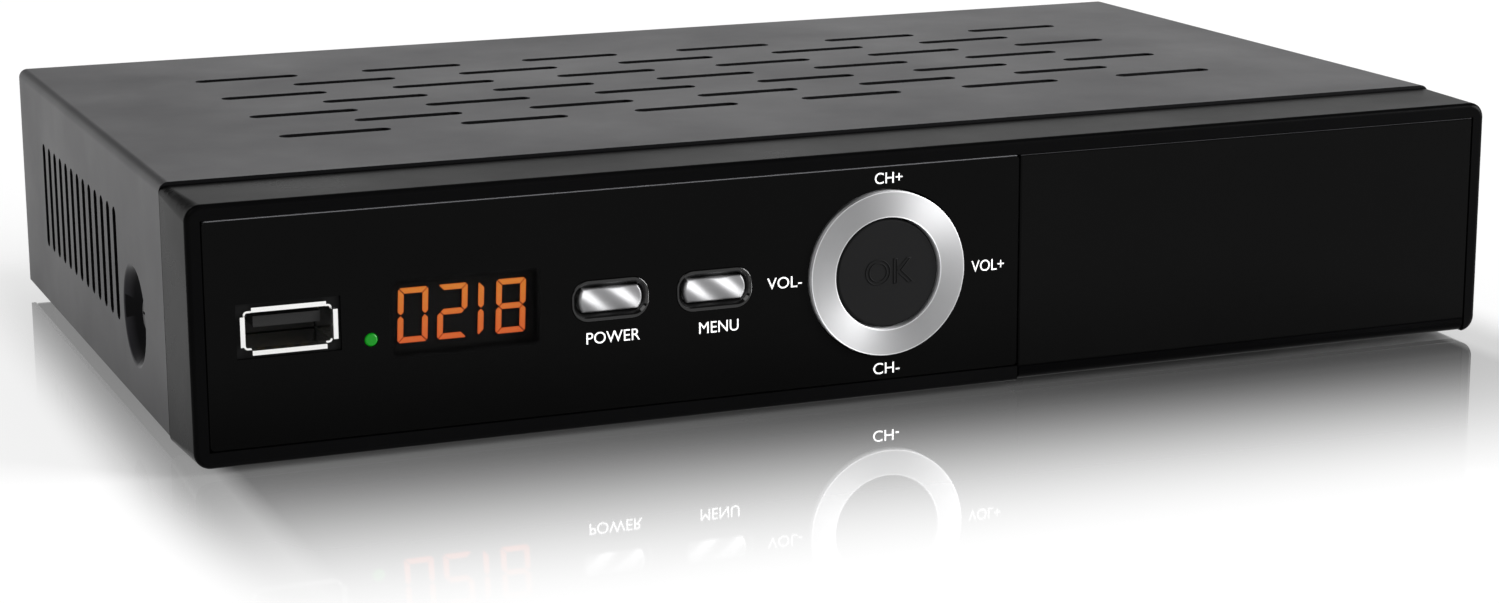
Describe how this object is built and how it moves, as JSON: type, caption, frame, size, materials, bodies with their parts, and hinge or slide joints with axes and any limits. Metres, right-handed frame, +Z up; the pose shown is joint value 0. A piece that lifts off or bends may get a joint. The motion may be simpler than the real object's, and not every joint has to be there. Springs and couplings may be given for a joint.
{
  "type": "satellite television receiver",
  "caption": "Desktop satellite television receiver: steel case with vent slots, dark gloss front, push keys, tilting key ring, flap over a card bay and rear sockets.",
  "frame": {"origin": "on the table under the middle of the whole object, feet on Z = 0", "axes": "+X is the viewer's right when facing the front, +Y runs from the front to the rear sockets, +Z is up"},
  "size_m": [0.22, 0.1446, 0.0407],
  "materials": {
    "case_paint": "satin black powder coat",
    "tray_steel": "zinc-plated sheet steel",
    "front_moulding": "black, half gloss",
    "window_black": "polished, back-printed black",
    "key_chrome": "polished",
    "port_nickel": "nickel plated",
    "ring_silver": "circular brushed",
    "ok_matt": "fine matt",
    "inner_black": "black moulding",
    "rubber_black": "matt",
    "lamp_green": "clear green, lit",
    "display_black": "dark face",
    "digit_orange": "lit bars",
    "board_green": "solder mask",
    "screw_steel": "zinc plated",
    "insulator_white": "white moulding",
    "jack_yellow": "yellow",
    "jack_red": "red",
    "contact_gold": "gold flashed",
    "sink_aluminium": "black anodised or plain",
    "sleeve_dark": "shrink sleeve",
    "ferrite_grey": "ferrite",
    "tape_yellow": "winding tape",
    "wire_red": "insulated wire"
  },
  "bodies": {
    "case": {"av_jack_block": "inner_black", "av_jack_sleeves": "port_nickel", "bay_frame": "inner_black", "board_capacitors": "sleeve_dark", "board_chips": "inner_black", "board_connectors": "insulator_white", "board_standoffs": "screw_steel", "bulk_capacitor": "sleeve_dark", "button_surrounds": "front_moulding", "card_reader": "inner_black", "chassis_tray": "tray_steel", "chip_heatsink": "sink_aluminium", "coax_insulators": "insulator_white", "coax_nuts": "port_nickel", "coax_sockets": "port_nickel", "cover_screws": "screw_steel", "data_port_contacts": "contact_gold", "data_port_shell": "port_nickel", "data_port_tongue": "inner_black", "digital_av_shell": "port_nickel", "digital_av_tongue": "inner_black", "display_digits": "digit_orange", "display_module": "display_black", "front_bezel": "front_moulding", "front_board": "board_green", "front_window": "window_black", "inlet_pins": "contact_gold", "inner_screws": "screw_steel", "ir_receiver": "inner_black", "key_hub": "inner_black", "led_light_pipe": "lamp_green", "main_board": "board_green", "main_chip": "inner_black", "mains_fuse": "inner_black", "mains_inlet": "inner_black", "port_surround": "inner_black", "power_board": "board_green", "power_harness": "wire_red", "power_heatsink": "sink_aluminium", "rear_panel": "case_paint", "red_jack_insert": "jack_red", "ribbon_cable": "insulator_white", "rubber_feet": "rubber_black", "status_led": "lamp_green", "tact_switches": "inner_black", "top_cover": "case_paint", "transformer_core": "ferrite_grey", "transformer_winding": "tape_yellow", "tuner_can": "tray_steel", "white_jack_insert": "insulator_white", "yellow_jack_insert": "jack_yellow"},
    "flap": {"flap_door": "window_black"},
    "power_key": {"power_button": "key_chrome", "power_plunger": "inner_black"},
    "menu_key": {"menu_button": "key_chrome", "menu_plunger": "inner_black"},
    "ok_key": {"ok_button": "ok_matt", "ok_plunger": "inner_black"},
    "key_cross": {"nav_pivot": "inner_black"},
    "key_ring": {"nav_ring": "ring_silver"}
  },
  "joints": [
    {"name": "flap_hinge", "type": "hinge", "parent": "case", "child": "flap", "pos_m": [0.06545, -0.0699, 0.0027], "axis": [1, 0, 0], "range_deg": [0, 90]},
    {"name": "power_press", "type": "slide", "parent": "case", "child": "power_key", "axis": [0, 1, 0], "range_m": [0, 0.0004], "stiffness_N_per_m": 1500},
    {"name": "menu_press", "type": "slide", "parent": "case", "child": "menu_key", "axis": [0, 1, 0], "range_m": [0, 0.0004], "stiffness_N_per_m": 1500},
    {"name": "ok_press", "type": "slide", "parent": "case", "child": "ok_key", "axis": [0, 1, 0], "range_m": [0, 0.0004], "stiffness_N_per_m": 1500},
    {"name": "channel_tilt", "type": "hinge", "parent": "case", "child": "key_cross", "pos_m": [0, -0.0679, 0.0208], "axis": [1, 0, 0], "range_deg": [-2, 2], "stiffness_Nm_per_rad": 0.5},
    {"name": "volume_tilt", "type": "hinge", "parent": "key_cross", "child": "key_ring", "pos_m": [0, -0.0679, 0.0208], "axis": [0, 0, 1], "range_deg": [-2, 2], "stiffness_Nm_per_rad": 0.5}
  ]
}
